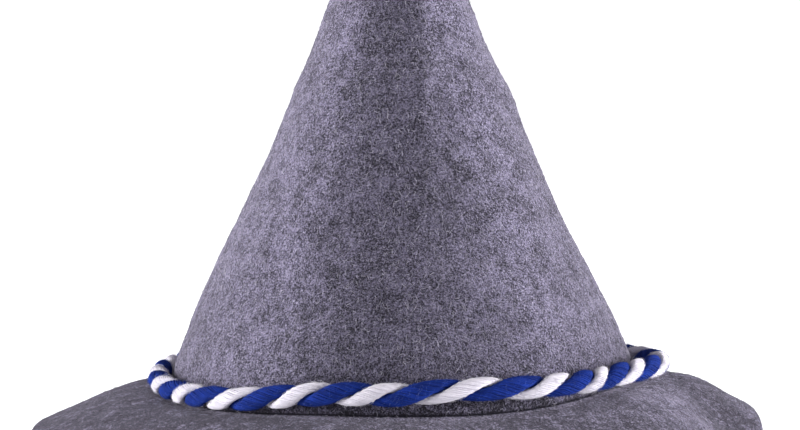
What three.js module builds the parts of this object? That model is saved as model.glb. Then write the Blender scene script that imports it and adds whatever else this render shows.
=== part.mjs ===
// Tyrolean hat: a tall cone of grey felt moulded in one piece with its brim, and a two-ply twisted
// cord laid round the foot of the crown. Millimetres, +Z up. The front faces -Y, and the lowest
// points of the rim stand on z = 0.
import * as THREE from "three";
import { ParametricGeometry } from "three/addons/geometries/ParametricGeometry.js";
import { mergeVertices } from "three/addons/utils/BufferGeometryUtils.js";

// Felt: one wall from the tip of the crown to the cut edge of the brim
const headWidth = 176; // inside the foot of the crown, side to side
const headDepth = 194; // inside the foot of the crown, front to back
const feltWall = 2.2;
const rimRound = 0.5; // rounding of the cut edge
const crownHeight = 182; // crease to tip
const tipRadius = 21;
const tipStart = 20; // degrees above level where the round tip takes over from the wall
const creaseBend = 1.6; // how far the bend into the brim reaches up the crown and out along the brim
const creaseDrop = 3.8; // how far the crease line strays from level
const brimReach = 56;
const brimFall = 27; // crease to the lowest points of the rim

// Pressed ridge, straight up the front and fading down the back
const ridgeHeight = 1.9;
const ridgePlace = 7.5; // right of the middle
const ridgeSteepSide = 7;
const ridgeLongSide = 20;
const ridgeCrest = 1.3; // power of its fall away from the crest: 1 is a sharp edge, 2 a round one
const ridgeStart = 0.3; // shares of crownHeight where it starts to show and is full, and at the back
const ridgeFull = 0.62;
const ridgeStartBack = 0.55;

// Soft hollows and swells left by the mould and by handling
const dentDepth = 2;
const foldHeight = 2;
const plainFoot = 0.1; // share of the wall's height over which dents fade out at the foot

// Cord
const cordThickness = 9;
const plyGap = 0.35; // between the two plies, at the heart of the cord
const plyHeart = 0.3; // share of a ply's depth that lies inward of its widest place
const feltGap = 0.35; // cord to felt

// Crown wall: rise is a share of the wall's height, width runs from 1 at the foot to 0 where the tip
// starts, and lean is a share of the foot's half width, to the right
const crownSections = [
  { rise: 0, width: 1, lean: 0 },
  { rise: 0.055, width: 0.988, lean: 0 },
  { rise: 0.15, width: 0.9, lean: -0.006 },
  { rise: 0.26, width: 0.776, lean: -0.012 },
  { rise: 0.365, width: 0.648, lean: -0.015 },
  { rise: 0.47, width: 0.53, lean: -0.011 },
  { rise: 0.575, width: 0.418, lean: -0.005 },
  { rise: 0.68, width: 0.32, lean: -0.006 },
  { rise: 0.78, width: 0.21, lean: -0.012 },
  { rise: 0.88, width: 0.116, lean: -0.014 },
  { rise: 1, width: 0, lean: -0.014 },
];

// Crease line: lift is a share of creaseDrop; azimuth runs from the front towards the right
const creaseLine = [
  { azimuth: 0, lift: -0.24 },
  { azimuth: 15, lift: -0.29 },
  { azimuth: 32, lift: -0.12 },
  { azimuth: 45, lift: 0.26 },
  { azimuth: 58, lift: 0.63 },
  { azimuth: 72, lift: 0.63 },
  { azimuth: 90, lift: 0.42 },
  { azimuth: 125, lift: 0 },
  { azimuth: 180, lift: -0.2 },
  { azimuth: 245, lift: -0.5 },
  { azimuth: 275, lift: -0.79 },
  { azimuth: 300, lift: -1 },
  { azimuth: 320, lift: -0.74 },
  { azimuth: 340, lift: -0.34 },
];

// Rim: reach is a share of brimReach, fall a share of brimFall
const rim = [
  { azimuth: 0, reach: 0.94, fall: 0.93 },
  { azimuth: 30, reach: 0.96, fall: 1 },
  { azimuth: 60, reach: 0.94, fall: 0.94 },
  { azimuth: 74, reach: 0.935, fall: 0.99 },
  { azimuth: 84, reach: 0.925, fall: 0.86 },
  { azimuth: 92, reach: 0.925, fall: 0.6 },
  { azimuth: 98, reach: 0.925, fall: 0.5 },
  { azimuth: 106, reach: 0.93, fall: 0.47 },
  { azimuth: 125, reach: 0.94, fall: 0.7 },
  { azimuth: 150, reach: 0.95, fall: 1 },
  { azimuth: 180, reach: 0.92, fall: 0.88 },
  { azimuth: 210, reach: 0.96, fall: 1 },
  { azimuth: 240, reach: 0.97, fall: 0.82 },
  { azimuth: 256, reach: 0.995, fall: 0.68 },
  { azimuth: 272, reach: 1, fall: 0.7 },
  { azimuth: 300, reach: 0.97, fall: 0.88 },
  { azimuth: 330, reach: 0.96, fall: 1 },
];

// Brim, from the crease out: how much of its fall is spent at the front and back, and at the sides
const brimSections = [
  { out: 0, frontFall: 0, sideFall: 0 },
  { out: 0.15, frontFall: 0.08, sideFall: 0 },
  { out: 0.3, frontFall: 0.19, sideFall: 0.06 },
  { out: 0.45, frontFall: 0.33, sideFall: 0.18 },
  { out: 0.6, frontFall: 0.49, sideFall: 0.36 },
  { out: 0.8, frontFall: 0.735, sideFall: 0.69 },
  { out: 1, frontFall: 1, sideFall: 1 },
];

// Crown dents: rise is a share of the wall's height, around of headWidth, up of crownHeight and
// depth of dentDepth, with swells above zero
const crownDents = [
  { azimuth: 88, rise: 0.66, around: 0.1, up: 0.04, depth: 0.3 },
  { azimuth: 322, rise: 0.21, around: 0.15, up: 0.1, depth: -0.7 },
  { azimuth: 20, rise: 0.15, around: 0.09, up: 0.1, depth: -0.6 },
  { azimuth: 55, rise: 0.42, around: 0.12, up: 0.12, depth: 0.4 },
  { azimuth: 285, rise: 0.46, around: 0.12, up: 0.12, depth: 0.3 },
  { azimuth: 135, rise: 0.3, around: 0.14, up: 0.12, depth: -0.6 },
  { azimuth: 210, rise: 0.4, around: 0.14, up: 0.14, depth: 0.5 },
  { azimuth: 240, rise: 0.2, around: 0.12, up: 0.09, depth: -0.5 },
];

// Brim folds: out and across are shares of brimReach, around of headWidth, lift of foldHeight
const brimFolds = [
  { azimuth: 68, out: 0.5, around: 0.16, across: 0.14, lift: -0.5 },
  { azimuth: 80, out: 0.66, around: 0.1, across: 0.22, lift: -1.4 },
  { azimuth: 98, out: 0.55, around: 0.2, across: 0.25, lift: 1.3 },
  { azimuth: 84, out: 0.93, around: 0.18, across: 0.14, lift: 0.7 },
  { azimuth: 264, out: 0.62, around: 0.2, across: 0.2, lift: -0.3 },
  { azimuth: 8, out: 0.55, around: 0.26, across: 0.2, lift: -0.35 },
  { azimuth: 172, out: 0.6, around: 0.24, across: 0.2, lift: -0.4 },
];

// Cord's way round: lift above the crease and standoff from the crown are shares of cordThickness
const cordWay = [
  { azimuth: 0, lift: 0.87, standoff: 0 },
  { azimuth: 12, lift: 1, standoff: 0 },
  { azimuth: 32, lift: 0.92, standoff: 0.02 },
  { azimuth: 48, lift: 0.78, standoff: 0.15 },
  { azimuth: 66, lift: 0.72, standoff: 0.43 },
  { azimuth: 85, lift: 0.66, standoff: 0.7 },
  { azimuth: 100, lift: 0.6, standoff: 0.53 },
  { azimuth: 130, lift: 0.56, standoff: 0.09 },
  { azimuth: 180, lift: 0.62, standoff: 0 },
  { azimuth: 235, lift: 0.58, standoff: 0 },
  { azimuth: 272, lift: 0.56, standoff: 0.07 },
  { azimuth: 300, lift: 0.6, standoff: 0.07 },
  { azimuth: 320, lift: 0.62, standoff: 0.01 },
  { azimuth: 330, lift: 0.74, standoff: 0 },
  { azimuth: 345, lift: 0.88, standoff: 0 },
];

// Twist: the azimuths where the blue ply faces straight out, turn by turn
const twistTurns = 21;
const twist = [
  { turn: 0, azimuth: 1.7 },
  { turn: 1, azimuth: 23 },
  { turn: 2, azimuth: 41.4 },
  { turn: 3, azimuth: 53.7 },
  { turn: 4, azimuth: 69.5 },
  { turn: 5, azimuth: 90 },
  { turn: 6, azimuth: 108 },
  { turn: 17, azimuth: 293.8 },
  { turn: 18, azimuth: 308.7 },
  { turn: 19, azimuth: 327.3 },
  { turn: 20, azimuth: 344.3 },
];

// Plies: thick is each one's share of the cord's thickness less the gap, wide a share of cordThickness
const plies = [
  { name: "cord_blue", turned: 0, thick: 0.58, wide: 0.82, colour: 0x2a3a86 },
  { name: "cord_white", turned: Math.PI, thick: 0.42, wide: 0.72, colour: 0xe9e6ee },
];

// Steps of the surfaces
const columns = 64;
const footCrowding = 1.15; // above 1, the crown's rows lie closer together near its foot
const crownRows = 16;
const innerCrownRows = 10;
const tipRows = 3;
const brimRows = 7;
const innerBrimRows = 5;
const stepsPerTurn = 8;
const plySides = 7;

const footWidth = headWidth / 2 + feltWall;
const footDepth = headDepth / 2 + feltWall;
const tipAngle = THREE.MathUtils.degToRad(tipStart);
const wallHeight = crownHeight - tipRadius * (1 - Math.sin(tipAngle));
const tipArc = tipRadius * (Math.PI / 2 - tipAngle);
const crownTop = wallHeight + tipArc;

// A smooth curve through a table's rows, whose slope at a row is that of its two neighbours.
function through(rows, key, column, at) {
  const last = rows.length - 1;
  let i = 0;
  while (i < last - 1 && rows[i + 1][key] <= at) i++;
  const slope = (k) => {
    const before = rows[Math.max(k - 1, 0)];
    const after = rows[Math.min(k + 1, last)];
    return (after[column] - before[column]) / (after[key] - before[key]);
  };
  const [from, to] = [rows[i], rows[i + 1]];
  const span = to[key] - from[key];
  const s = Math.min(Math.max((at - from[key]) / span, 0), 1);
  const rise = to[column] - from[column];
  const [leave, arrive] = [slope(i) * span, slope(i + 1) * span];
  return from[column] + s * (leave + s * (3 * rise - 2 * leave - arrive + s * (leave + arrive - 2 * rise)));
}

// The same for a table that closes on itself: the column gains a fixed amount each time round.
function around(rows, key, column, at, period = 360, gain = 0) {
  const laps = Math.floor(at / period);
  const shifted = (row, lap) => ({ [key]: row[key] + lap * period, [column]: row[column] + lap * gain });
  const ring = [
    ...rows.slice(-3).map((row) => shifted(row, -1)),
    ...rows,
    ...rows.slice(0, 3).map((row) => shifted(row, 1)),
  ];
  return through(ring, key, column, at - laps * period) + laps * gain;
}

const degrees = (azimuth) => THREE.MathUtils.euclideanModulo(THREE.MathUtils.radToDeg(azimuth), 360);

// Zero below -reach and t above reach, joined by a parabola.
function eased(t, reach) {
  if (Math.abs(t) < reach) return (t + reach) ** 2 / (4 * reach);
  return Math.max(t, 0);
}

const creaseLift = (azimuth) => creaseDrop * around(creaseLine, "azimuth", "lift", degrees(azimuth));

// A point of the smooth crown: climb is the height up the wall, then the way along the round tip.
function crownPoint(azimuth, climb) {
  const rise = Math.min(climb / wallHeight, 1);
  const overTip = tipAngle + Math.max(climb - wallHeight, 0) / tipRadius;
  const tipHalf = tipRadius * Math.cos(tipAngle);
  const half = overTip > tipAngle
    ? tipRadius * Math.cos(overTip)
    : tipHalf + (footWidth - tipHalf) * through(crownSections, "rise", "width", rise);
  const lean = footWidth * through(crownSections, "rise", "lean", rise);
  const height = rise * wallHeight + tipRadius * (Math.sin(overTip) - Math.sin(tipAngle));
  return new THREE.Vector3(
    half * Math.sin(azimuth) + lean,
    -half * (footDepth / footWidth) * Math.cos(azimuth),
    height + creaseLift(azimuth) * (1 - climb / crownTop),
  );
}

// How far the brim has gone out from the crown's foot and down from the crease.
function brimStep(azimuth, travel) {
  const out = travel / brimReach;
  const outward = new THREE.Vector2(Math.sin(azimuth) / footWidth, -Math.cos(azimuth) / footDepth);
  outward.setLength(out * brimReach * around(rim, "azimuth", "reach", degrees(azimuth)));
  const atFront = through(brimSections, "out", "frontFall", out);
  const atSide = through(brimSections, "out", "sideFall", out);
  const spent = THREE.MathUtils.lerp(atFront, atSide, Math.sin(azimuth) ** 2);
  const fall = brimFall * around(rim, "azimuth", "fall", degrees(azimuth));
  return new THREE.Vector3(outward.x, outward.y, -fall * spent - creaseLift(azimuth) * out);
}

// The smooth outer face. travel is below zero up the crown, zero at the crease, above zero outwards.
function smoothPoint(azimuth, travel) {
  const climb = Math.min(eased(-travel, creaseBend), crownTop);
  return crownPoint(azimuth, climb).add(brimStep(azimuth, eased(travel, creaseBend)));
}

// The outward normal of the smooth face, from short steps along it and round it.
function faceNormal(azimuth, travel) {
  if (travel <= -crownTop) return new THREE.Vector3(0, 0, 1);
  const [turn, step] = [1e-3, brimReach / 1000];
  const alongFace = smoothPoint(azimuth, travel + step).sub(smoothPoint(azimuth, travel - step));
  const roundFace = smoothPoint(azimuth + turn, travel).sub(smoothPoint(azimuth - turn, travel));
  return alongFace.cross(roundFace).normalize();
}

// Height of the pressed ridge at a point: a sharp crest with a steep right side and a long left one.
function ridgeAt(point) {
  const rise = THREE.MathUtils.clamp(point.z / crownHeight, 0, 1);
  const fade = THREE.MathUtils.smoothstep(rise, ridgeStart, ridgeFull);
  const backFade = THREE.MathUtils.smoothstep(rise, ridgeStartBack, 1);
  const towardsFront = THREE.MathUtils.smoothstep(-point.y, -tipRadius, tipRadius);
  const strength = fade * THREE.MathUtils.lerp(backFade, 1, towardsFront);
  const beside = point.x - ridgePlace;
  const side = beside > 0 ? beside / ridgeSteepSide : -beside / ridgeLongSide;
  return ridgeHeight * strength * Math.exp(-(side ** ridgeCrest));
}

// A soft round swell or hollow about a centre on the smooth face.
function swell(point, centre, aroundSpan, upSpan) {
  const level = Math.hypot(point.x - centre.x, point.y - centre.y) / aroundSpan;
  return Math.exp(-(level ** 2) - ((point.z - centre.z) / upSpan) ** 2);
}

const dentCentres = crownDents.map((dent) =>
  smoothPoint(THREE.MathUtils.degToRad(dent.azimuth), -dent.rise * wallHeight));

// How far the pressed face stands off the smooth one: folds on the brim, ridge and dents on the crown.
function relief(point, azimuth, travel) {
  if (travel > 0) {
    return brimFolds.reduce((sum, fold) => {
      const past = azimuth - THREE.MathUtils.degToRad(fold.azimuth);
      const turned = Math.atan2(Math.sin(past), Math.cos(past));
      const beside = turned * (footWidth + travel) / (fold.around * headWidth);
      const beyond = (travel - fold.out * brimReach) / (fold.across * brimReach);
      const ease = THREE.MathUtils.smoothstep(travel, 0, fold.out * brimReach);
      return sum + foldHeight * fold.lift * ease * Math.exp(-(beside ** 2) - beyond ** 2);
    }, 0);
  }
  const low = THREE.MathUtils.smoothstep(-travel, 0, plainFoot * wallHeight);
  return crownDents.reduce((sum, dent, i) =>
    sum + low * dentDepth * dent.depth
      * swell(point, dentCentres[i], dent.around * headWidth, dent.up * crownHeight), ridgeAt(point));
}

// A point of the felt, at a depth below its outer face.
function feltPoint(azimuth, travel, depth) {
  const point = smoothPoint(azimuth, travel);
  return point.addScaledVector(faceNormal(azimuth, travel), relief(point, azimuth, travel) - depth);
}

// Rows of the felt's section, from the inside of the tip down, round the cut edge and up outside.
function feltRows() {
  const spread = (count, from, to, power = 1) =>
    Array.from({ length: count }, (_, i) => from + (to - from) * ((i + 1) / count) ** power);
  const edge = brimReach - rimRound;
  const inside = [
    -crownTop,
    ...spread(tipRows, -crownTop, -wallHeight),
    ...spread(innerCrownRows, -wallHeight, -creaseBend, 1 / footCrowding),
    0,
    creaseBend,
    ...spread(innerBrimRows, creaseBend, edge),
  ];
  const outside = [
    ...spread(brimRows, edge, creaseBend),
    creaseBend / 2,
    0,
    -creaseBend / 2,
    -creaseBend,
    ...spread(crownRows, -creaseBend, -wallHeight, footCrowding),
    ...spread(tipRows, -wallHeight, -crownTop),
  ];
  return [
    ...inside.map((travel) => ({ travel, depth: feltWall })),
    { travel: brimReach, depth: feltWall - rimRound },
    { travel: brimReach, depth: rimRound },
    { travel: edge, depth: 0 },
    ...outside.map((travel) => ({ travel, depth: 0 })),
  ];
}

// A closed mesh from a surface of two parameters: seams are merged and collapsed faces dropped.
function closedSurface(surface, slices, stacks) {
  const sheet = new ParametricGeometry(surface, slices, stacks);
  sheet.deleteAttribute("normal");
  sheet.deleteAttribute("uv");
  const closed = mergeVertices(sheet, 1e-4);
  const kept = [];
  for (let i = 0; i < closed.index.count; i += 3) {
    const [a, b, c] = [closed.index.getX(i), closed.index.getX(i + 1), closed.index.getX(i + 2)];
    if (a !== b && b !== c && c !== a) kept.push(a, b, c);
  }
  closed.setIndex(kept);
  closed.computeVertexNormals();
  return closed;
}

// The whole felt: one wall, open at the head and cut off at the rim.
function feltBody() {
  const rows = feltRows();
  const geometry = closedSurface((u, v, target) => {
    const place = THREE.MathUtils.clamp(v * (rows.length - 1), 0, rows.length - 1);
    const [low, high] = [rows[Math.floor(place)], rows[Math.ceil(place)]];
    const between = place - Math.floor(place);
    const azimuth = 2 * Math.PI * THREE.MathUtils.euclideanModulo(u, 1);
    const travel = THREE.MathUtils.lerp(low.travel, high.travel, between);
    target.copy(feltPoint(azimuth, travel, THREE.MathUtils.lerp(low.depth, high.depth, between)));
  }, columns, rows.length - 1);
  const felt = new THREE.MeshStandardMaterial({ color: 0x7f7991, roughness: 0.95, metalness: 0 });
  const body = new THREE.Mesh(geometry, felt);
  body.name = "felt_body";
  return body;
}

// The middle line of the cord: out from the crown's wall by its radius, a gap and its standoff.
function cordMiddle(azimuth) {
  const share = (column) => cordThickness * around(cordWay, "azimuth", column, degrees(azimuth));
  const travel = -share("lift");
  const clear = cordThickness / 2 + feltGap + share("standoff");
  return smoothPoint(azimuth, travel).addScaledVector(faceNormal(azimuth, travel), clear);
}

// One ply: a section deep outside and shallow at the cord's heart, carried round the cord's middle
// line and turned with the twist.
function plyMesh({ name, turned, thick, wide, colour }) {
  const depth = thick * (cordThickness - plyGap);
  const widest = cordThickness / 2 - depth * (1 - plyHeart);
  const geometry = closedSurface((u, v, target) => {
    const turns = twistTurns * THREE.MathUtils.euclideanModulo(v, 1);
    const azimuth = THREE.MathUtils.degToRad(around(twist, "turn", "azimuth", turns, twistTurns, 360));
    const middle = cordMiddle(azimuth);
    const forward = cordMiddle(azimuth + 1e-3).sub(cordMiddle(azimuth - 1e-3)).normalize();
    const outward = new THREE.Vector3(Math.sin(azimuth) / footWidth, -Math.cos(azimuth) / footDepth, 0);
    outward.addScaledVector(forward, -outward.dot(forward)).normalize();
    const upward = new THREE.Vector3().crossVectors(forward, outward).negate();
    const twisted = 2 * Math.PI * turns + turned;
    const away = outward.clone().multiplyScalar(Math.cos(twisted)).addScaledVector(upward, Math.sin(twisted));
    const across = upward.multiplyScalar(Math.cos(twisted)).addScaledVector(outward, -Math.sin(twisted));
    const section = -2 * Math.PI * u;
    const reach = depth * (Math.cos(section) > 0 ? 1 - plyHeart : plyHeart);
    target.copy(middle).addScaledVector(away, widest + reach * Math.cos(section));
    target.addScaledVector(across, cordThickness * (wide / 2) * Math.sin(section));
  }, plySides, twistTurns * stepsPerTurn);
  const ply = new THREE.Mesh(geometry, new THREE.MeshStandardMaterial({ color: colour, roughness: 0.85 }));
  ply.name = name;
  return ply;
}

const hat = new THREE.Group();
hat.name = "tyrolean_hat";
hat.add(feltBody());
const cord = new THREE.Group();
cord.name = "hat_cord";
plies.forEach((ply) => cord.add(plyMesh(ply)));
hat.add(cord);

// The hat stands on its rim, centred over the origin.
const box = new THREE.Box3().setFromObject(hat, true);
const centre = box.getCenter(new THREE.Vector3());
hat.position.set(-centre.x, -centre.y, -box.min.z);

export default hat;
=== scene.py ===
import bpy
import numpy as np
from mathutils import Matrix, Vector


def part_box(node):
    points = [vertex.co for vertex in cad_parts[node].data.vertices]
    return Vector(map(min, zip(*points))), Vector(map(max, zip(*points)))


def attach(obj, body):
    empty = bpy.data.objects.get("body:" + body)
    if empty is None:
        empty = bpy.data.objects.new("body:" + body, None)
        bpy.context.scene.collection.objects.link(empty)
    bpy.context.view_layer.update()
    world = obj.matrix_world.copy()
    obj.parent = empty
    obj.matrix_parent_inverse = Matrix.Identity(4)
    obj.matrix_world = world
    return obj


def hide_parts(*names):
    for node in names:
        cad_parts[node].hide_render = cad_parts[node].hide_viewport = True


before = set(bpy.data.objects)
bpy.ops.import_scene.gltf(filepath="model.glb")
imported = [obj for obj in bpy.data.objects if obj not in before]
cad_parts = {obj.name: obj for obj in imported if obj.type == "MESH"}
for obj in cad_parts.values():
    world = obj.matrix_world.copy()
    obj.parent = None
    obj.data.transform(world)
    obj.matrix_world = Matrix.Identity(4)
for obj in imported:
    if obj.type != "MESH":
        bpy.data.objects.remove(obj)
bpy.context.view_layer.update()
print("frame loaded with", sorted(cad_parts))

# Camera: level with the cord's front and a little above it, as in the photograph.
cameraSet = {
    "place": (.0012, -1.2994, .1887),
    "aim": (.0012, .0006, .0937),
    "lens": 149.3,
    "sensor": 36,
}


def addCamera(look):
    # A long lens on one straight line from its place to the point aimed at.
    data = bpy.data.cameras.new("camera")
    data.lens = look["lens"]
    data.sensor_width = look["sensor"]
    camera = bpy.data.objects.new("camera", data)
    bpy.context.scene.collection.objects.link(camera)
    camera.location = look["place"]
    camera.rotation_euler = (Vector(look["aim"]) - camera.location).to_track_quat("-Z", "Y").to_euler()
    bpy.context.scene.camera = camera


addCamera(cameraSet)
print("camera set")


# Felt hat, in metres. Azimuth runs from the front, -Y, towards +X. Travel runs from the tip, below zero,
# over the crease at 0 and out to the rim.
hat = {
    "headWidth": .176,
    "headDepth": .194,
    "wall": .0022,
    "rimRound": .0007,
    "crownHeight": .182,
    "tipRadius": .021,
    "tipStart": 20,                # degrees, where the cone passes into the round tip
    "creaseBend": .0016,
    "creaseDrop": .0038,
    "creaseGroove": .0003,
    "creasePlace": -.0004,
    "creaseWide": .0006,
    "brimReach": .056,
    "brimFall": .027,
    "ridgeHeight": .0019,
    "ridgePlace": .0075,
    "ridgeSteepSide": .007,
    "ridgeLongSide": .020,
    "ridgeCrest": 1.3,
    "ridgeFront": (.3, .62),       # shares of the crown's height between which the ridge grows in front
    "ridgeBack": (.55, 1),         # and behind
    "dentDepth": .002,
    "foldHeight": .002,
    "plainFoot": .1,
    "unevenHeight": .00016,
    "longWaves": (.03, 12, 3),     # size, number and seed of the unevenness
    "shortWaves": (.011, 16, 4),
    "shortShare": .6,
    "evenRim": .012,               # width inside the rim where the unevenness fades out
    "columns": 380,
    "crownRows": (-.008, 120),     # travel where the crown's rows end, and their number
    "creaseRows": ((-.0074, -.0021, 10), (-.0018, .0018, 13), (.0022, .008, 9)),
    "brimRows": (.0092, 36),       # travel where the brim's rows begin, and their number
    "rimRows": 7,
    "innerRows": 62,
}

# rise, width and lean of the crown, as shares of the wall's height and of the foot's half width
crownSections = np.array([
    (0, 1, 0), (.055, .988, 0), (.15, .9, -.006), (.26, .776, -.012), (.365, .648, -.015), (.47, .53, -.011),
    (.575, .418, -.005), (.68, .32, -.006), (.78, .21, -.012), (.88, .116, -.014), (1, 0, -.014),
])
# azimuth and lift of the crease
creaseLine = np.array([
    (0, -.24), (15, -.29), (32, -.12), (45, .26), (58, .63), (72, .63), (90, .42), (125, 0), (180, -.2),
    (245, -.5), (275, -.79), (300, -1), (320, -.74), (340, -.34),
])
# azimuth, reach and fall of the rim
rimLine = np.array([
    (0, .94, .93), (30, .96, 1), (60, .94, .94), (74, .935, .99), (84, .925, .86), (92, .925, .6),
    (98, .925, .5), (106, .93, .47), (125, .94, .7), (150, .95, 1), (180, .92, .88), (210, .96, 1),
    (240, .97, .82), (256, .995, .68), (272, 1, .7), (300, .97, .88), (330, .96, 1),
])
# way out, and the share of the fall spent there at the front and at the sides
brimSections = np.array([
    (0, 0, 0), (.15, .08, 0), (.3, .19, .06), (.45, .33, .18), (.6, .49, .36), (.8, .735, .69), (1, 1, 1),
])
# azimuth, rise, spread around, spread up and depth of each soft dent
crownDents = np.array([
    (88, .66, .1, .04, .3), (322, .21, .15, .1, -.7), (20, .15, .09, .1, -.6), (55, .42, .12, .12, .4),
    (285, .46, .12, .12, .3), (135, .3, .14, .12, -.6), (210, .4, .14, .14, .5), (240, .2, .12, .09, -.5),
])
# azimuth, way out, spread around, spread across and lift of each fold in the brim
brimFolds = np.array([
    (68, .5, .16, .14, -.5), (80, .66, .1, .22, -1.4), (98, .55, .2, .25, 1.3), (84, .93, .18, .14, .7),
    (264, .62, .2, .2, -.3), (8, .55, .26, .2, -.35), (172, .6, .24, .2, -.4),
])


def through(table, column, at):
    # A smooth curve through a table, in cubic pieces. The slope at each row is that of the line between the
    # rows on either side of it.
    x = table[:, 0]
    y = table[:, column]
    before = np.r_[0, :len(x) - 1]
    after = np.r_[1:len(x), len(x) - 1]
    slope = (y[after] - y[before]) / (x[after] - x[before])
    i = np.clip(np.searchsorted(x, at, side="right") - 1, 0, len(x) - 2)
    span = x[i + 1] - x[i]
    s = np.clip((at - x[i]) / span, 0, 1)
    rise = y[i + 1] - y[i]
    leave = slope[i] * span
    arrive = slope[i + 1] * span
    return y[i] + s * (leave + s * (3 * rise - 2 * leave - arrive + s * (leave + arrive - 2 * rise)))


def around(table, column, at, period=360, gain=0):
    # The same curve on a ring: the table is repeated each period, raised by gain each time.
    laps = np.floor(np.asarray(at) / period)
    step = np.zeros(table.shape[1])
    step[0] = period
    step[column] = gain
    ring = np.vstack([table[-3:] - step, table, table[:3] + step])
    return through(ring, column, at - laps * period) + laps * gain


def turnedDegrees(azimuth):
    # An angle in radians as degrees from 0 to 360.
    return np.mod(np.degrees(azimuth), 360)


def unit(v):
    # A vector divided by its length.
    return v / np.linalg.norm(v, axis=-1, keepdims=True)


def smoothStep(x, low, high):
    # Rises from 0 at low to 1 at high by s squared times 3 - 2s.
    s = np.clip((x - low) / (high - low), 0, 1)
    return s * s * (3 - 2 * s)


def bell(x, spread):
    # A bell-shaped rise round zero.
    return np.exp(-(x / spread) ** 2)


def eased(t, reach):
    # 0 below -reach, t above reach, and a parabola between.
    return np.where(np.abs(t) < reach, (t + reach) ** 2 / (4 * reach), np.maximum(t, 0))


footWidth = hat["headWidth"] / 2 + hat["wall"]
footDepth = hat["headDepth"] / 2 + hat["wall"]
tipAngle = np.radians(hat["tipStart"])
wallHeight = hat["crownHeight"] - hat["tipRadius"] * (1 - np.sin(tipAngle))
crownTop = wallHeight + hat["tipRadius"] * (np.pi / 2 - tipAngle)


def creaseLift(azimuth):
    # The crease's height above its plane, from the crease table.
    return hat["creaseDrop"] * around(creaseLine, 1, turnedDegrees(azimuth))


def crownPoint(azimuth, climb):
    # An oval ring of the crown: the section table up the wall, then an arc of the tip's radius.
    rise = np.minimum(climb / wallHeight, 1)
    over = tipAngle + np.maximum(climb - wallHeight, 0) / hat["tipRadius"]
    tipHalf = hat["tipRadius"] * np.cos(tipAngle)
    onWall = tipHalf + (footWidth - tipHalf) * through(crownSections, 1, rise)
    half = np.where(over > tipAngle, hat["tipRadius"] * np.cos(over), onWall)
    height = rise * wallHeight + hat["tipRadius"] * (np.sin(over) - np.sin(tipAngle))
    return np.stack([
        half * np.sin(azimuth) + footWidth * through(crownSections, 2, rise),
        -half * footDepth / footWidth * np.cos(azimuth),
        height + creaseLift(azimuth) * (1 - climb / crownTop),
    ], -1)


def brimStep(azimuth, travel):
    # From the crease outwards along the foot oval's normal, and down by the share of the rim's fall.
    out = travel / hat["brimReach"]
    across = unit(np.stack([np.sin(azimuth) / footWidth, -np.cos(azimuth) / footDepth], -1))
    reach = travel * around(rimLine, 1, turnedDegrees(azimuth))
    front = through(brimSections, 1, out)
    spent = front + (through(brimSections, 2, out) - front) * np.sin(azimuth) ** 2
    fall = hat["brimFall"] * around(rimLine, 2, turnedDegrees(azimuth))
    return np.stack([
        across[..., 0] * reach,
        across[..., 1] * reach,
        -fall * spent - creaseLift(azimuth) * out,
    ], -1)


def smoothPoint(azimuth, travel):
    # Crown and brim joined by an easing of travel on either side of the crease.
    azimuth, travel = np.broadcast_arrays(azimuth, travel)
    climb = np.minimum(eased(-travel, hat["creaseBend"]), crownTop)
    return crownPoint(azimuth, climb) + brimStep(azimuth, eased(travel, hat["creaseBend"]))


def faceNormal(azimuth, travel):
    # The cross product of small steps along and around, straight up at the tip.
    azimuth, travel = np.broadcast_arrays(azimuth, travel)
    turn = .001
    step = .00005
    along = smoothPoint(azimuth, travel + step) - smoothPoint(azimuth, travel - step)
    beside = smoothPoint(azimuth + turn, travel) - smoothPoint(azimuth - turn, travel)
    normal = np.cross(along, beside)
    normal[travel <= step - crownTop] = (0, 0, 1)
    return unit(normal)


def ridgeAt(point):
    # A pressed ridge up the front and over the tip: an exponential fall from its crest, steep on one side.
    rise = np.clip(point[..., 2] / hat["crownHeight"], 0, 1)
    front = smoothStep(-point[..., 1], -hat["tipRadius"], hat["tipRadius"])
    back = smoothStep(rise, *hat["ridgeBack"])
    strength = smoothStep(rise, *hat["ridgeFront"]) * (back + (1 - back) * front)
    beside = point[..., 0] - hat["ridgePlace"]
    side = np.where(beside > 0, beside / hat["ridgeSteepSide"], -beside / hat["ridgeLongSide"])
    return hat["ridgeHeight"] * strength * np.exp(-side ** hat["ridgeCrest"])


def relief(point, azimuth, travel):
    # The ridge and the dents on the crown, the folds on the brim: each a bell-shaped rise round its middle.
    crown = ridgeAt(point)
    low = smoothStep(-travel, 0, hat["plainFoot"] * wallHeight)
    for place, rise, wide, tall, depth in crownDents:
        middle = smoothPoint(np.radians(place), -rise * wallHeight)
        level = np.hypot(point[..., 0] - middle[0], point[..., 1] - middle[1]) / (wide * hat["headWidth"])
        upright = (point[..., 2] - middle[2]) / (tall * hat["crownHeight"])
        crown = crown + low * hat["dentDepth"] * depth * np.exp(-level ** 2 - upright ** 2)
    brim = 0
    for place, out, wide, across, lift in brimFolds:
        turned = np.arctan2(np.sin(azimuth - np.radians(place)), np.cos(azimuth - np.radians(place)))
        beside = turned * (footWidth + travel) / (wide * hat["headWidth"])
        beyond = (travel - out * hat["brimReach"]) / (across * hat["brimReach"])
        growth = smoothStep(travel, 0, out * hat["brimReach"])
        brim = brim + hat["foldHeight"] * lift * growth * np.exp(-beside ** 2 - beyond ** 2)
    return np.where(travel > 0, brim, crown)


def uneven(point, size, waves, seed):
    # A sum of cosine waves of about one size in random directions, from about -1 to 1.
    chance = np.random.default_rng(seed)
    total = 0
    for _ in range(waves):
        wave = unit(chance.normal(size=3)) * 2 * np.pi / (size * chance.uniform(.6, 1.6))
        total = total + np.cos(point @ wave + chance.uniform(0, 2 * np.pi))
    return total / np.sqrt(waves)


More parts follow.
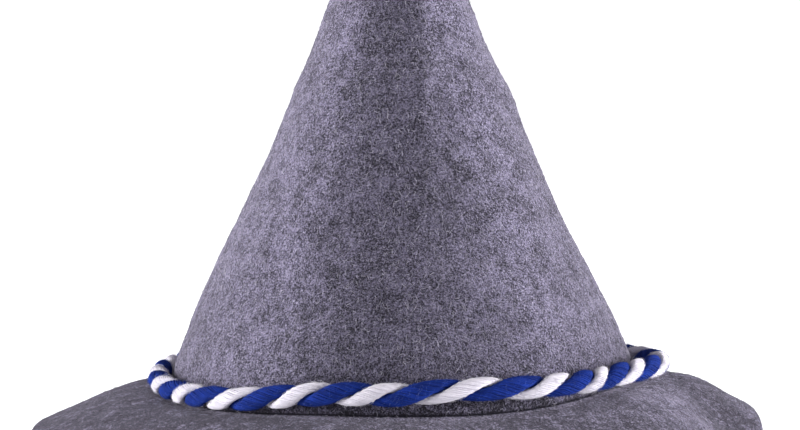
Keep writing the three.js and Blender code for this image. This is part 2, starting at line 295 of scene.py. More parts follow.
def feltPoint(azimuth, travel, depth=0, fine=True):
    # The smooth surface moved along its normal by its relief, less the depth into the wall.
    point = smoothPoint(azimuth, travel)
    height = relief(point, azimuth, travel) - depth
    if fine:
        within = smoothStep(hat["brimReach"] - travel, 0, hat["evenRim"])
        waves = uneven(point, *hat["longWaves"]) + hat["shortShare"] * uneven(point, *hat["shortWaves"])
        height = height + hat["unevenHeight"] * within * waves
        height = height - hat["creaseGroove"] * bell(travel - hat["creasePlace"], hat["creaseWide"])
    return point + faceNormal(azimuth, travel) * height[..., None] + hatPlace


def middleOf(points):
    # The middle of the box round some points.
    points = points.reshape(-1, 3)
    return (points.min(0) + points.max(0)) / 2


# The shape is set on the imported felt: its place is zero while its own middle is measured.
hatPlace = np.zeros(3)
coarse = np.meshgrid(np.radians(np.arange(0, 360, 2)), np.linspace(-crownTop, hat["brimReach"], 200))
hatPlace = middleOf(np.array(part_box("felt_body"))) - middleOf(feltPoint(*coarse, fine=False))
print("felt stands at", np.round(hatPlace, 5))


def addPiece(name, points, faces):
    # A mesh of numpy points and faces as an object at the origin, smooth shaded.
    mesh = bpy.data.meshes.new(name)
    mesh.from_pydata(points.reshape(-1, 3).tolist(), [], [face for block in faces for face in block.tolist()])
    mesh.shade_smooth()
    piece = bpy.data.objects.new(name, mesh)
    bpy.context.scene.collection.objects.link(piece)
    return piece


def keepOnPoints(piece, name, values):
    # A number for each point, which the material reads.
    held = piece.data.attributes.new(name, "FLOAT", "POINT")
    held.data.foreach_set("value", np.asarray(values, np.float32).ravel())


def ringFaces(rows, columns, closedRows=False):
    # Quads between neighbouring rows of a grid that closes round its columns.
    row = np.arange(rows if closedRows else rows - 1)[:, None]
    column = np.arange(columns)[None]
    here = row * columns + column
    beside = row * columns + (column + 1) % columns
    further = (row + 1) % rows * columns
    return np.stack([here, further + column, further + (column + 1) % columns, beside], -1).reshape(-1, 4)


def feltShell():
    # Outside from the tip to the rim, half a turn round the raw edge, and back up inside: one closed wall.
    brimStart, brimCount = hat["brimRows"]
    brimEnd = hat["brimReach"] - hat["rimRound"]
    outer = np.concatenate([
        np.linspace(-crownTop, *hat["crownRows"]),
        *[np.linspace(*rows) for rows in hat["creaseRows"]],
        np.linspace(brimStart, brimEnd, brimCount),
    ])
    edge = np.linspace(0, np.pi, hat["rimRows"] + 2)[1:-1]
    inner = np.linspace(brimEnd, -crownTop, hat["innerRows"])
    travel = np.r_[outer[1:], hat["brimReach"] - hat["rimRound"] * (1 - np.sin(edge)), inner[:-1]]
    depth = np.r_[0 * outer[1:], hat["wall"] * (1 - np.cos(edge)) / 2, 0 * inner[:-1] + hat["wall"]]
    azimuth = np.linspace(0, 2 * np.pi, hat["columns"], endpoint=False)
    points = feltPoint(azimuth[None], travel[:, None], depth[:, None])
    points[..., 2] = np.maximum(points[..., 2], 0)
    crease, paintedShade = feltPaintedShade(azimuth[None], travel[:, None])
    outside = depth[:, None] < hat["wall"] / 2
    tips = feltPoint(np.zeros(2), np.full(2, -crownTop), np.array([0, hat["wall"]]))
    rows, columns = points.shape[:2]
    column = np.arange(columns)
    following = (column + 1) % columns
    last = (rows - 1) * columns
    top = rows * columns
    caps = [
        np.stack([np.full(columns, top), column, following], -1),
        np.stack([np.full(columns, top + 1), last + following, last + column], -1),
    ]
    faces = [ringFaces(rows, columns), *caps]
    shell = addPiece("felt_shell", np.vstack([points.reshape(-1, 3), tips]), faces)
    # The material reads these on the outside. The last two points are the middles of the tip.
    # Painted shade on the outside: a dark line in the crease, shadow under the cord and shade over the brim.
    keepOnPoints(shell, "crease", np.r_[(crease * outside).ravel(), 0, 0])
    keepOnPoints(shell, "paintedShade", np.r_[(paintedShade * outside).ravel(), 0, 0])
    # Painted light on the tip: the material holds the pale wool up there.
    tip = smoothStep(-travel[:, None], wallHeight, crownTop) + 0 * azimuth
    keepOnPoints(shell, "tip", np.r_[(tip * outside).ravel(), 1, 0])
    return shell


# Painted shade on the felt: a dark line in the crease, shadow under the cord, and shade over the brim and in
# its folds.
shadeForm = {
    "front": (.1, .8),             # cosines of the azimuth between which a shade grows to its front strength
    "creaseWide": .0007,           # half width of the painted shade line in the crease
    "creaseBehind": .35,           # its strength behind, as a share of that in front
    "stripWide": .0075,            # height of the painted shadow under the cord
    "stripWhole": (.0005, .004),   # climbs between which it is whole
    "strip": .5,
    "stripBehind": .5,
    "brimGrows": (.0005, .006),    # travels between which the painted shade on the brim grows
    "darkest": .95,
    # azimuth, way out, spread around and spread across of the painted shade in the brim's folds, in metres,
    # and strength
    "patches": ((79, .82, .020, .013, .7), (90, .55, .018, .014, .55)),
}
# azimuth and strength of the painted shade on the brim's felt
brimShade = np.array([
    (0, .66), (50, .55), (68, .12), (88, .35), (120, .5), (180, .5), (240, .8), (275, .88), (315, .78),
    (340, .68),
])


def feltPaintedShade(azimuth, travel):
    # Two levels from 0 to 1 over the outside: a painted shade line in the crease, and painted shade under the
    # cord and on the brim.
    azimuth, travel = np.broadcast_arrays(azimuth, travel)
    place = turnedDegrees(azimuth)
    front = smoothStep(np.cos(azimuth), *shadeForm["front"])
    behind = shadeForm["creaseBehind"]
    crease = bell(travel - hat["creasePlace"], shadeForm["creaseWide"]) * (behind + (1 - behind) * front)
    bottom, top = shadeForm["stripWhole"]
    under = smoothStep(-travel, 0, bottom) * smoothStep(travel, -shadeForm["stripWide"], -top)
    behind = shadeForm["stripBehind"]
    paintedShade = under * (behind + (1 - behind) * front) * shadeForm["strip"]
    paintedShade = paintedShade + around(brimShade, 1, place) * smoothStep(travel, *shadeForm["brimGrows"])
    for middle, out, wide, across, strength in shadeForm["patches"]:
        beside = (place - middle) * np.pi / 180 * (footWidth + travel)
        beyond = travel - out * hat["brimReach"]
        paintedShade = paintedShade + strength * bell(beside, wide) * bell(beyond, across) * (travel > 0)
    return crease, np.clip(paintedShade, 0, shadeForm["darkest"])


felt = feltShell()
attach(felt, "root")
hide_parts("felt_body")
print("felt shell:", len(felt.data.polygons), "faces")


# Loose fibres on the felt: thin closed spindles that lie along the surface and dip into it at their ends.
fibreForm = {
    "pale": {"count": 16500, "seed": 11, "thick": .00013, "length": .0026, "bare": 1.4},
    "dark": {"count": 9000, "seed": 12, "thick": .00011, "length": .0022, "bare": 0},
    "lift": .00012,
    "strayShare": .06,
    "strayLift": .0009,
    "curl": .9,
    "upright": .25,                # how far the fibres lean to the crown's slope
    "steps": (-.5, -.2, .2, .5),   # places of a fibre's four points along it
    "lying": (-.8, 1, 1, -.8),     # their heights in lifts, where it lies and where it stands up
    "standing": (-.1, .2, .6, 1),
    "tipFree": .001,               # travel without fibres at the tip and at the rim
    "rimFree": .0004,
    "rimNearest": .0003,           # how near the rim a fibre's end comes
}


def spindles(spine, outward, thick):
    # Each fibre is a point, two three-sided rings and a point, so a closed body of 12 triangles.
    along = unit(spine[:, 2] - spine[:, 1])
    side = unit(np.cross(along, outward))
    over = np.cross(side, along)
    turns = np.arange(3) * 2 * np.pi / 3
    spokes = np.cos(turns)[:, None, None] * over + np.sin(turns)[:, None, None] * side
    ring = spokes * thick[None, :, None] / 2
    first = spine[:, 1][:, None] + ring.transpose(1, 0, 2)
    second = spine[:, 2][:, None] + ring.transpose(1, 0, 2)
    points = np.concatenate([spine[:, :1], first, second, spine[:, 3:]], 1)
    one = np.array([
        (0, 2, 1), (0, 3, 2), (0, 1, 3), (1, 2, 5), (1, 5, 4), (2, 3, 6),
        (2, 6, 5), (3, 1, 4), (3, 4, 6), (4, 5, 7), (5, 6, 7), (6, 4, 7),
    ])
    faces = one[None] + 8 * np.arange(len(spine))[:, None, None]
    return points, faces.reshape(-1, 3)


def feltFibres(name, kind):
    # Scattered evenly over the outside: travel is drawn in proportion to the ring's length there.
    chance = np.random.default_rng(kind["seed"])
    count = kind["count"]
    ladder = np.linspace(-crownTop + fibreForm["tipFree"], hat["brimReach"] - fibreForm["rimFree"], 400)
    rings = smoothPoint(np.radians(45), ladder)
    radius = np.hypot(rings[:, 0], rings[:, 1])
    shares = np.cumsum(radius) / radius.sum()
    travel = np.interp(chance.uniform(size=count), shares, ladder)
    azimuth = chance.uniform(0, 2 * np.pi, count)
    length = kind["length"] * chance.uniform(.5, 1.5, count)
    heading = chance.uniform(0, 2 * np.pi, count)
    heading = heading - fibreForm["upright"] * np.sin(2 * heading)
    bend = fibreForm["curl"] * chance.normal(size=count)
    stray = chance.uniform(size=count) < fibreForm["strayShare"]
    # Pale fibres are left out where shade is painted, so that the painted shade stays dark.
    bare = chance.uniform(size=count) < feltPaintedShade(azimuth, travel)[1] * kind["bare"]
    steps = np.array(fibreForm["steps"])[None]
    ways = heading[:, None] + bend[:, None] * steps * 2
    local = np.interp(travel, ladder, radius)[:, None]
    up = steps * length[:, None] * np.cos(ways)
    sideways = steps * length[:, None] * np.sin(ways)
    atTravel = np.clip(travel[:, None] - up, -crownTop, hat["brimReach"] - fibreForm["rimNearest"])
    atAzimuth = azimuth[:, None] + sideways / local
    low = np.array(fibreForm["lying"])[None] * fibreForm["lift"] * chance.uniform(.5, 1.4, (count, 1))
    high = np.array(fibreForm["standing"])[None] * fibreForm["strayLift"] * chance.uniform(.3, 1, (count, 1))
    spine = feltPoint(atAzimuth, atTravel, -np.where(stray[:, None], high, low))
    spine[..., 2] = np.maximum(spine[..., 2], kind["thick"])
    thick = kind["thick"] * chance.uniform(.7, 1.3, count)
    shade = chance.uniform(size=count)
    points, faces = spindles(spine[~bare], faceNormal(azimuth, travel)[~bare], thick[~bare])
    piece = addPiece(name, points, [faces])
    keepOnPoints(piece, "shade", np.repeat(shade[~bare], 8))
    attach(piece, "root")
    print(name, len(faces), "triangles")
    return piece


paleFibres = feltFibres("felt_fibres_pale", fibreForm["pale"])
darkFibres = feltFibres("felt_fibres_dark", fibreForm["dark"])


# Two-ply cord round the crown's foot. Each ply is a bundle of fine yarns twisted against the cord's own lay.
cordForm = {
    "thickness": .009,
    "plyGap": .00035,
    "feltGap": .00035,
    "turns": 21,
    "stepsPerTurn": 16,
    "yarnSides": 6,
    "startSpread": .25,            # unevenness of the yarns' places in the bundle
    "wander": .07,                 # and of their way round it, in radians
    "wanderLaps": (19, 31, 53),    # waves round the hat of each slow change
    "uneven": (.12, .06),          # of the thickness, from yarn to yarn and along each
    "unevenLaps": (43, 71, 97),
    "sink": .00006,
    "sinkLaps": (23, 37, 61),
    "inset": .00005,
    "coreSides": 10,
    "coreInset": .75,              # depth of the core under the ply's surface, in yarns
    "heart": .3,                   # share of a ply's depth that lies inward of its widest place
    "blue": {
        "turned": 0, "thick": .58, "wide": .82, "yarns": 27, "yarnLaps": 38, "yarn": .00071, "seed": 21,
    },
    "white": {
        "turned": np.pi, "thick": .42, "wide": .72, "yarns": 22, "yarnLaps": 43, "yarn": .00071, "seed": 22,
    },
}
# azimuth, lift above the crease and stand-off from the crown, as shares of the cord's thickness
cordWay = np.array([
    (0, .87, 0), (12, 1, 0), (32, .92, .02), (48, .78, .15), (66, .72, .43), (85, .66, .7), (100, .6, .53),
    (130, .56, .09), (180, .62, 0), (235, .58, 0), (272, .56, .07), (300, .6, .07), (320, .62, .01),
    (330, .74, 0), (345, .88, 0),
])
# turn of the twist and the azimuth that it has reached
twistLine = np.array([
    (0, 1.7), (1, 23), (2, 41.4), (3, 53.7), (4, 69.5), (5, 90), (6, 108), (17, 293.8), (18, 308.7),
    (19, 327.3), (20, 344.3),
])


def cordMiddle(azimuth):
    # The cord's own line: lifted up the crown's wall and set off from it by half its thickness.
    lift = cordForm["thickness"] * around(cordWay, 1, turnedDegrees(azimuth))
    standOff = cordForm["thickness"] * around(cordWay, 2, turnedDegrees(azimuth))
    away = cordForm["thickness"] / 2 + cordForm["feltGap"] + standOff
    return smoothPoint(azimuth, -lift) + faceNormal(azimuth, -lift) * away[..., None] + hatPlace


def twistFrame(turns, turned):
    # Along the cord: its middle, the direction from it to the ply, and the one across both ply and cord.
    azimuth = np.radians(around(twistLine, 1, turns, cordForm["turns"], 360))
    forward = unit(cordMiddle(azimuth + .001) - cordMiddle(azimuth - .001))
    outward = np.stack([np.sin(azimuth) / footWidth, -np.cos(azimuth) / footDepth, 0 * azimuth], -1)
    outward = unit(outward - forward * np.sum(outward * forward, -1, keepdims=True))
    upward = np.cross(outward, forward)
    angle = (2 * np.pi * turns + turned)[..., None]
    away = outward * np.cos(angle) + upward * np.sin(angle)
    across = upward * np.cos(angle) - outward * np.sin(angle)
    return cordMiddle(azimuth), away, across


def onPly(ply, turns, section, inset):
    # A point on the ply's section, two half ovals that share their width: a deep one outside and a shallow
    # one at the cord's heart. It is inset from the surface, and comes with the outward direction there.
    middle, away, across = twistFrame(turns, ply["turned"])
    depth = ply["thick"] * (cordForm["thickness"] - cordForm["plyGap"])
    half = ply["wide"] * cordForm["thickness"] / 2
    widest = cordForm["thickness"] / 2 - depth * (1 - cordForm["heart"])
    cosine = np.cos(section)[..., None]
    sine = np.sin(section)[..., None]
    reach = depth * np.where(cosine > 0, 1 - cordForm["heart"], cordForm["heart"])
    inset = np.asarray(inset)[..., None]
    point = middle + away * (widest + (reach - inset) * cosine) + across * (half - inset) * sine
    return point, unit(away * cosine * half + across * sine * reach)


def ringWaves(turns, chance, count, laps):
    # For each yarn a slow wave along the cord: cosines that fit a whole number of times round it.
    total = 0
    for lap in laps:
        phase = chance.uniform(0, 2 * np.pi, (count, 1))
        total = total + np.cos(2 * np.pi * lap * turns[None] / cordForm["turns"] + phase)
    return total / len(laps)


def yarnPly(name, ply):
    # Yarn k starts k shares round the oval and turns against the cord. Each is a closed six-sided tube.
    chance = np.random.default_rng(ply["seed"])
    steps = cordForm["turns"] * cordForm["stepsPerTurn"]
    turns = np.arange(steps) / cordForm["stepsPerTurn"]
    count = ply["yarns"]
    start = (np.arange(count) + cordForm["startSpread"] * chance.uniform(-1, 1, count)) * 2 * np.pi / count
    section = start[:, None] - 2 * np.pi * ply["yarnLaps"] / cordForm["turns"] * turns[None]
    section = section + cordForm["wander"] * ringWaves(turns, chance, count, cordForm["wanderLaps"])
    fromYarn, alongYarn = cordForm["uneven"]
    radius = ply["yarn"] / 2 * (1 + fromYarn * chance.uniform(-1, 1, (count, 1)))
    radius = radius * (1 + alongYarn * ringWaves(turns, chance, count, cordForm["unevenLaps"]))
    sink = cordForm["sink"] * ringWaves(turns, chance, count, cordForm["sinkLaps"])
    inset = radius + cordForm["inset"] + np.abs(sink)
    middle, outward = onPly(ply, turns[None] + 0 * section, section, inset)
    forward = unit(np.roll(middle, -1, 1) - np.roll(middle, 1, 1))
    beside = unit(np.cross(forward, outward))
    outward = np.cross(beside, forward)
    turn = np.arange(cordForm["yarnSides"]) * 2 * np.pi / cordForm["yarnSides"]
    reach = radius[..., None, None]
    rings = middle[:, :, None] + reach * (
        np.cos(turn)[:, None] * outward[:, :, None] + np.sin(turn)[:, None] * beside[:, :, None]
    )
    one = ringFaces(steps, cordForm["yarnSides"], closedRows=True)
    faces = (one[None] + steps * cordForm["yarnSides"] * np.arange(count)[:, None, None]).reshape(-1, 4)
    core = coreTube(ply, turns)
    faces = np.vstack([faces, ringFaces(steps, core.shape[1], closedRows=True) + rings.size // 3])
    piece = addPiece(name, np.vstack([rings.reshape(-1, 3), core.reshape(-1, 3)]), [faces])
    shade = np.repeat(chance.uniform(size=count), steps * cordForm["yarnSides"])
    keepOnPoints(piece, "shade", np.r_[shade, np.zeros(core.size // 3)])
    print(name, 2 * len(faces), "triangles")
    return piece


def coreTube(ply, turns):
    # The bundle's inside, an oval tube just under the yarns, so that no light passes between them.
    section = -np.arange(cordForm["coreSides"]) * 2 * np.pi / cordForm["coreSides"]
    both = np.broadcast_arrays(turns[:, None], section[None])
    return onPly(ply, *both, ply["yarn"] * cordForm["coreInset"])[0]


blueCord = yarnPly("cord_blue_yarns", cordForm["blue"])
whiteCord = yarnPly("cord_white_yarns", cordForm["white"])
for piece, node, slotName in ((blueCord, "cord_blue", "blue_yarn"), (whiteCord, "cord_white", "white_yarn")):
    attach(piece, "root")
    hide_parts(node)


# Loose hairs on the yarns, which soften the cord's outline.
fuzzForm = {
    "count": 3400,
    "length": .0019,
    "thick": .00009,
    "lift": .0004,
    "strayShare": .15,
    "strayLift": .001,
    "curl": .5,
    "root": .0002,                 # depth in the yarns where a hair begins
    "plyHalf": .35,                # a ply's mean half width, as a share of the cord's thickness
    "steps": (0, .33, .67, 1),     # places of a hair's four points along it, and shares of its rise there
    "rises": (0, .5, .85, 1),
}


def yarnFuzz(name, ply):
    # Each hair starts in the yarns, heads off in a random direction along the ply and rises from it.
    chance = np.random.default_rng(ply["seed"] + 10)
    count = fuzzForm["count"]
    start = chance.uniform(0, cordForm["turns"], count)
    section = chance.uniform(0, 2 * np.pi, count)
    heading = chance.uniform(0, 2 * np.pi, count)
    ways = heading[:, None] + fuzzForm["curl"] * chance.normal(size=(count, 1)) * np.arange(4)[None]
    length = fuzzForm["length"] * chance.uniform(.5, 1.4, (count, 1))
    steps = np.array(fuzzForm["steps"])[None]
    turns = start[:, None] + steps * length * np.cos(ways) * cordForm["turns"] / (2 * np.pi * footWidth)
    plyHalf = fuzzForm["plyHalf"] * cordForm["thickness"]
    sections = section[:, None] + steps * length * np.sin(ways) / plyHalf
    stray = chance.uniform(size=(count, 1)) < fuzzForm["strayShare"]
    rise = np.where(stray, fuzzForm["strayLift"], fuzzForm["lift"]) * chance.uniform(.3, 1, (count, 1))
    depth = fuzzForm["root"] - (rise + fuzzForm["root"]) * np.array(fuzzForm["rises"])[None]
    spine = onPly(ply, turns, sections, depth)[0]
    outward = onPly(ply, start, section, 0 * start)[1]
    points, faces = spindles(spine, outward, fuzzForm["thick"] * chance.uniform(.7, 1.3, count))
    piece = addPiece(name, points, [faces])
    keepOnPoints(piece, "shade", np.repeat(chance.uniform(size=count), 8))
    print(name, len(faces), "triangles")
    return piece


blueFuzz = yarnFuzz("cord_blue_fuzz", cordForm["blue"])
whiteFuzz = yarnFuzz("cord_white_fuzz", cordForm["white"])
for piece, slotName in ((blueFuzz, "blue_yarn"), (whiteFuzz, "white_yarn")):
    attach(piece, "root")


# Shader maths: a wire is a socket in an expression, and a finish is one material's nodes.
class Wire:
    def __init__(self, finish, socket):
        self.finish = finish
        self.socket = socket

    def maths(self, operation, first, second):
        return self.finish.node("ShaderNodeMath", {"operation": operation}, {0: first, 1: second})

    def __add__(self, other):
        return self.maths("ADD", self, other)

    def __radd__(self, other):
        return self.maths("ADD", other, self)

    def __sub__(self, other):
        return self.maths("SUBTRACT", self, other)

    def __rsub__(self, other):
        return self.maths("SUBTRACT", other, self)

    def __mul__(self, other):
        return self.maths("MULTIPLY", self, other)

    def __rmul__(self, other):
        return self.maths("MULTIPLY", other, self)


class Finish:
    def __init__(self, name):
        self.material = bpy.data.materials.new(name)
        self.material.use_nodes = True
        self.tree = self.material.node_tree
        self.surface = self.tree.nodes["Principled BSDF"]

    def node(self, kind, settings=None, sockets=None, out=0):
        # Settings first, then the values or wires of its sockets; gives back the output as a wire.
        made = self.tree.nodes.new(kind)
        for key, value in (settings or {}).items():
            setattr(made, key, value)
        for key, value in (sockets or {}).items():
            self.join(made.inputs[key], value)
        return Wire(self, made.outputs[out])

    def join(self, socket, value):
        # A wire is linked to the socket, and a plain value is set on it.
        if isinstance(value, Wire):
            self.tree.links.new(value.socket, socket)
        else:
            socket.default_value = value

    def onPoints(self, name):
        # A number kept on the mesh's points.
        return self.node("ShaderNodeAttribute", {"attribute_name": name}, out="Fac")

    def set(self, **values):
        # Sockets of the surface shader, by name with spaces taken out.
        for socket in self.surface.inputs:
            key = socket.name.replace(" ", "")
            if key in values:
                self.join(socket, values[key])

    def noise(self, place, scale, detail=2, roughness=.5, distortion=0):
        # Soft noise from 0 to 1, so many waves a metre.
        return self.node("ShaderNodeTexNoise", {}, {
            "Vector": place, "Scale": scale, "Detail": detail, "Roughness": roughness,
            "Distortion": distortion,
        })

    def spread(self, value, low, high, start=0, end=1):
        # The value's range from low to high stretched to start and end, and held there.
        return self.node("ShaderNodeMapRange", {}, {0: value, 1: low, 2: high, 3: start, 4: end})

    def grain(self, place, kind):
        # One size of mottling: noise with its middle range stretched to 0 and 1.
        return self.spread(self.noise(place, *kind["noise"]), *kind["range"])

    def blend(self, share, first, second):
        # Two colours mixed.
        return self.node("ShaderNodeMix", {"data_type": "RGBA"}, {0: share, 6: first, 7: second}, 2)

    def bump(self, height, distance, strength):
        # The normal tilted by the slope of the height, of which 1 stands for the distance.
        return self.node("ShaderNodeBump", {}, {"Height": height, "Distance": distance, "Strength": strength})


def whole(colour):
    # A colour of three parts with its alpha.
    return (*colour, 1)


# Felt: pale wool with a soft sheen, mixed by clouds, blotches and a fine tangle with darker, barer wool, and
# by painted sheen and painted shade.
# Each noise is given by scale, detail, roughness and distortion.
feltLook = {
    "dark": {"colour": (.004, .0035, .007), "sheen": .33},
    "pale": {"colour": (.262, .235, .372), "sheen": 1},
    # the sheenless wool of the painted shade line in the crease
    "pressed": {"colour": (.006, .005, .009), "sheen": 0},
    "roughness": .95,
    "specular": .15,
    "sheenRoughness": .5,
    "sheenTint": (.84, .775, 1),
    "fibrePale": (.62, .585, .72),
    "fibreShare": .8,
    "clouds": {"noise": (32, 2), "range": (.3, .7)},
    "blotches": {"noise": (140, 3, .6), "range": (.32, .68)},
    "tangle": {"noise": (520, 3, .75, .6), "range": (.36, .64)},
    "speckle": {"noise": (1550, 2, .75, .3), "range": (.36, .64)},
    "paleLines": (800, 2, .55, .6),
    "darkLines": (1300, 2, .55, .6),
    "lineWide": .03,
    "tone": {                      # what each adds to the pale wool's share, or takes from it
        "speckle": .5, "tangle": .2, "blotches": .2, "clouds": .08, "pale": .26, "dark": .06, "paintedShade": .27,
    },
    "toneRange": (.34, .81),
    "mottle": {"blotches": .4, "tangle": .6, "strength": .4},   # added where shade is painted, so that grain stays in it
    "relief": {"speckle": .6, "tangle": .4, "pale": .3},
    "bump": (.0004, .85),
    "fuzz": (.08, .28, .55, .98),  # facings between which a painted sheen lifts the pale wool's share, and its shares there
    "tipFuzz": .6,                 # painted light on the tip: how far its share is raised from there to the whole
}


def fibreLines(finish, place, kind):
    # Thin lines where a warped noise crosses its middle value.
    level = finish.noise(place, *kind)
    apart = finish.node("ShaderNodeMath", {"operation": "ABSOLUTE"}, {0: level - .5})
    return finish.spread(apart, 0, feltLook["lineWide"], 1, 0)


def woolSurface(finish, look, colour, normal):
    # One wool as a whole surface shader.
    return finish.node("ShaderNodeBsdfPrincipled", {}, {
        "Base Color": colour, "Roughness": feltLook["roughness"], "Specular IOR Level": feltLook["specular"],
        "Sheen Weight": look["sheen"], "Sheen Roughness": feltLook["sheenRoughness"],
        "Sheen Tint": whole(feltLook["sheenTint"]), "Normal": normal,
    })


def feltFinish():
    # The pale wool's share is a weighted sum of grain in four sizes and of pale and dark fibre lines, lower
    # where shade is painted under the cord and on the brim. It is then multiplied by a painted sheen, which
    # grows as the face turns away from the view and is held up on the tip as painted light. A dark wool
    # without sheen is laid over the crease as a painted shade line.
    look = feltLook
    finish = Finish("greyFelt")
    place = finish.node("ShaderNodeTexCoord", out="Object")
    clouds = finish.grain(place, look["clouds"])
    blotches = finish.grain(place, look["blotches"])
    tangle = finish.grain(place, look["tangle"])
    speckle = finish.grain(place, look["speckle"])
    paleLines = fibreLines(finish, place, look["paleLines"])
    darkLines = fibreLines(finish, place, look["darkLines"])
    part = look["tone"]
    tone = speckle * part["speckle"] + tangle * part["tangle"] + blotches * part["blotches"]
    tone = tone + clouds * part["clouds"]
    # Painted shade under the cord and on the brim lowers the pale wool's share.
    paintedShade = finish.onPoints("paintedShade")
    tone = tone + paleLines * part["pale"] - darkLines * part["dark"] - paintedShade * part["paintedShade"]
    mottle = blotches * look["mottle"]["blotches"] + tangle * look["mottle"]["tangle"] - .5
    tone = tone + paintedShade * mottle * look["mottle"]["strength"]
    share = finish.spread(tone, *look["toneRange"])
    part = look["relief"]
    height = speckle * part["speckle"] + tangle * part["tangle"] + paleLines * part["pale"]
    normal = finish.bump(height, *look["bump"])
    fibres = paleLines * speckle * look["fibreShare"]
    pale = finish.blend(fibres, whole(look["pale"]["colour"]), whole(look["fibrePale"]))
    # Painted sheen: the pale wool's share rises as the face turns away from the view.
    fuzz = finish.spread(finish.node("ShaderNodeLayerWeight", {}, {}, "Facing"), *look["fuzz"])
    share = share * (fuzz + finish.onPoints("tip") * (1 - fuzz) * look["tipFuzz"])
    both = finish.node("ShaderNodeMixShader", {}, {
        0: share,
        1: woolSurface(finish, look["dark"], whole(look["dark"]["colour"]), normal),
        2: woolSurface(finish, look["pale"], pale, normal),
    })
    # Painted shade: the crease's dark line in a sheenless near-black wool.
    creaseShaded = finish.node("ShaderNodeMixShader", {}, {
        0: finish.onPoints("crease"),
        1: both,
        2: woolSurface(finish, look["pressed"], whole(look["pressed"]["colour"]), normal),
    })
    finish.join(finish.tree.nodes["Material Output"].inputs["Surface"], creaseShaded)
    return finish.material


# Loose fibres: the darkest and the palest colour of each kind.
fibreLook = {
    "pale": ((.20, .187, .25), (.56, .53, .64)),
    "dark": ((.006, .006, .010), (.05, .047, .07)),
    "roughness": .8,
    "specular": .3,
    "sheen": .2,
    "sheenRoughness": .5,
}


def fibreFinish(name, low, high):
    # Each fibre has its own shade between two.
    finish = Finish(name)
    shade = finish.onPoints("shade")
    finish.set(
        BaseColor=finish.blend(shade, whole(low), whole(high)), Roughness=fibreLook["roughness"],
        SpecularIORLevel=fibreLook["specular"], SheenWeight=fibreLook["sheen"],
        SheenRoughness=fibreLook["sheenRoughness"],
    )
    return finish.material


felt.data.materials.append(feltFinish())
paleFibres.data.materials.append(fibreFinish("paleWool", *fibreLook["pale"]))
darkFibres.data.materials.append(fibreFinish("darkWool", *fibreLook["dark"]))
print("felt finished")


# Yarns and their hairs: the colour in the shade and in the light of each, and the grain that mixes them.
yarnLook = {
    "blue": {"deep": (.003, .0095, .083), "lit": (.0135, .043, .318), "sheen": .02},
    "blueFuzz": {"deep": (.006, .022, .16), "lit": (.03, .075, .38), "sheen": .2},
    "white": {"deep": (.54, .51, .6), "lit": (.86, .822, .9), "sheen": .04},
    "whiteFuzz": {"deep": (.6, .58, .66), "lit": (.8, .78, .85), "sheen": .2},
    "patches": {"noise": (260, 2), "range": (.3, .7)},
    "hairs": {"noise": (2600, 3, .7, .8), "range": (.35, .65)},
    "tone": {"shade": .4, "patches": .25, "hairs": .35},
    "roughness": .85,
    "specular": .08,
    "sheenRoughness": .4,
    "bump": (.0001, .5),
}


def yarnFinish(name, look):
    # Yarn to yarn a little lighter or darker, with fine broken streaks of single hairs.
    finish = Finish(name)
    place = finish.node("ShaderNodeTexCoord", out="Object")
    shade = finish.onPoints("shade")
    patches = finish.grain(place, yarnLook["patches"])
    hairs = finish.grain(place, yarnLook["hairs"])
    part = yarnLook["tone"]
    tone = shade * part["shade"] + patches * part["patches"] + hairs * part["hairs"]
    finish.set(
        BaseColor=finish.blend(tone, whole(look["deep"]), whole(look["lit"])),
        Roughness=yarnLook["roughness"], SpecularIORLevel=yarnLook["specular"], SheenWeight=look["sheen"],
        SheenRoughness=yarnLook["sheenRoughness"], Normal=finish.bump(hairs, *yarnLook["bump"]),
    )
    return finish.material


blueCord.data.materials.append(yarnFinish("blueYarn", yarnLook["blue"]))
whiteCord.data.materials.append(yarnFinish("whiteYarn", yarnLook["white"]))
blueFuzz.data.materials.append(yarnFinish("blueFuzz", yarnLook["blueFuzz"]))
whiteFuzz.data.materials.append(yarnFinish("whiteFuzz", yarnLook["whiteFuzz"]))
print("cord finished")


# Studio: a wide pale floor, a bright horizon that darkens overhead, and a large soft light on each side.
studio = {
    "floorReach": 45,
    "floorRings": 24,
    "floorColumns": 64,
    "floorColour": (.86, .86, .87),
    "floorGlow": .86,
    "horizon": 1,
    "band": (.02, .16),            # heights between which the sky darkens
    "overhead": .33,
    "lightAim": (0, 0, .1),
    "sideLights": (
        {"name": "light_left", "place": (-1.7, -.25, .15), "size": (1.3, .9), "power": 67},
        {"name": "light_right", "place": (1.7, -.25, .15), "size": (1.3, .9), "power": 72},
    ),
}


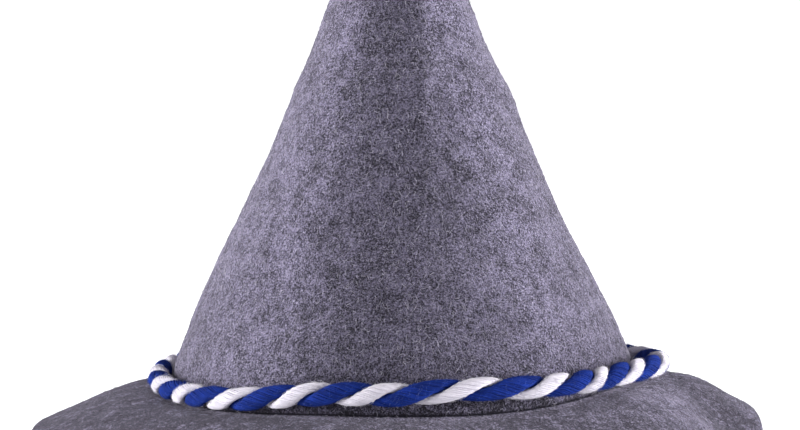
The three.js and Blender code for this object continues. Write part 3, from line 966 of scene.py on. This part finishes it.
def addFloor():
    # A flat disc in rings that widen with the square of their number.
    columns = studio["floorColumns"]
    rings = np.linspace(0, 1, studio["floorRings"] + 1)[1:] ** 2 * studio["floorReach"]
    azimuth = np.linspace(0, 2 * np.pi, columns, endpoint=False)
    points = np.stack([
        rings[:, None] * np.sin(azimuth), -rings[:, None] * np.cos(azimuth), 0 * rings[:, None] * azimuth,
    ], -1)
    column = np.arange(columns)
    faces = ringFaces(len(rings), columns)
    cap = np.stack([np.full(columns, points.size // 3), column, (column + 1) % columns], -1)
    floor = addPiece("floor", np.vstack([points.reshape(-1, 3), np.zeros((1, 3))]), [faces, cap])
    finish = Finish("paleFloor")
    finish.set(
        BaseColor=whole(studio["floorColour"]), Roughness=.9, EmissionColor=(1, 1, 1, 1),
        EmissionStrength=studio["floorGlow"], SpecularIORLevel=.1,
    )
    floor.data.materials.append(finish.material)


def addSideLight(look):
    # A rectangle facing the hat, unseen by the camera.
    data = bpy.data.lights.new(look["name"], "AREA")
    data.shape = "RECTANGLE"
    data.size, data.size_y = look["size"]
    data.energy = look["power"]
    light = bpy.data.objects.new(look["name"], data)
    bpy.context.scene.collection.objects.link(light)
    light.location = look["place"]
    away = Vector(studio["lightAim"]) - light.location
    light.rotation_euler = away.to_track_quat("-Z", "Y").to_euler()
    light.visible_camera = False


def addSky():
    # Brightness falls from the horizon to overhead with the height of the direction.
    world = bpy.data.worlds.new("studio")
    bpy.context.scene.world = world
    world.use_nodes = True
    tree = world.node_tree
    direction = tree.nodes.new("ShaderNodeTexCoord")
    parts = tree.nodes.new("ShaderNodeSeparateXYZ")
    level = tree.nodes.new("ShaderNodeMapRange")
    level.inputs["From Min"].default_value = studio["band"][0]
    level.inputs["From Max"].default_value = studio["band"][1]
    level.inputs["To Min"].default_value = studio["horizon"]
    level.inputs["To Max"].default_value = studio["overhead"]
    tree.links.new(direction.outputs["Generated"], parts.inputs[0])
    tree.links.new(parts.outputs["Z"], level.inputs["Value"])
    tree.links.new(level.outputs[0], tree.nodes["Background"].inputs["Strength"])
    tree.nodes["Background"].inputs["Color"].default_value = (1, 1, 1, 1)


addFloor()
for look in studio["sideLights"]:
    addSideLight(look)
addSky()
bpy.context.scene.view_settings.view_transform = "Standard"
print("studio lit")
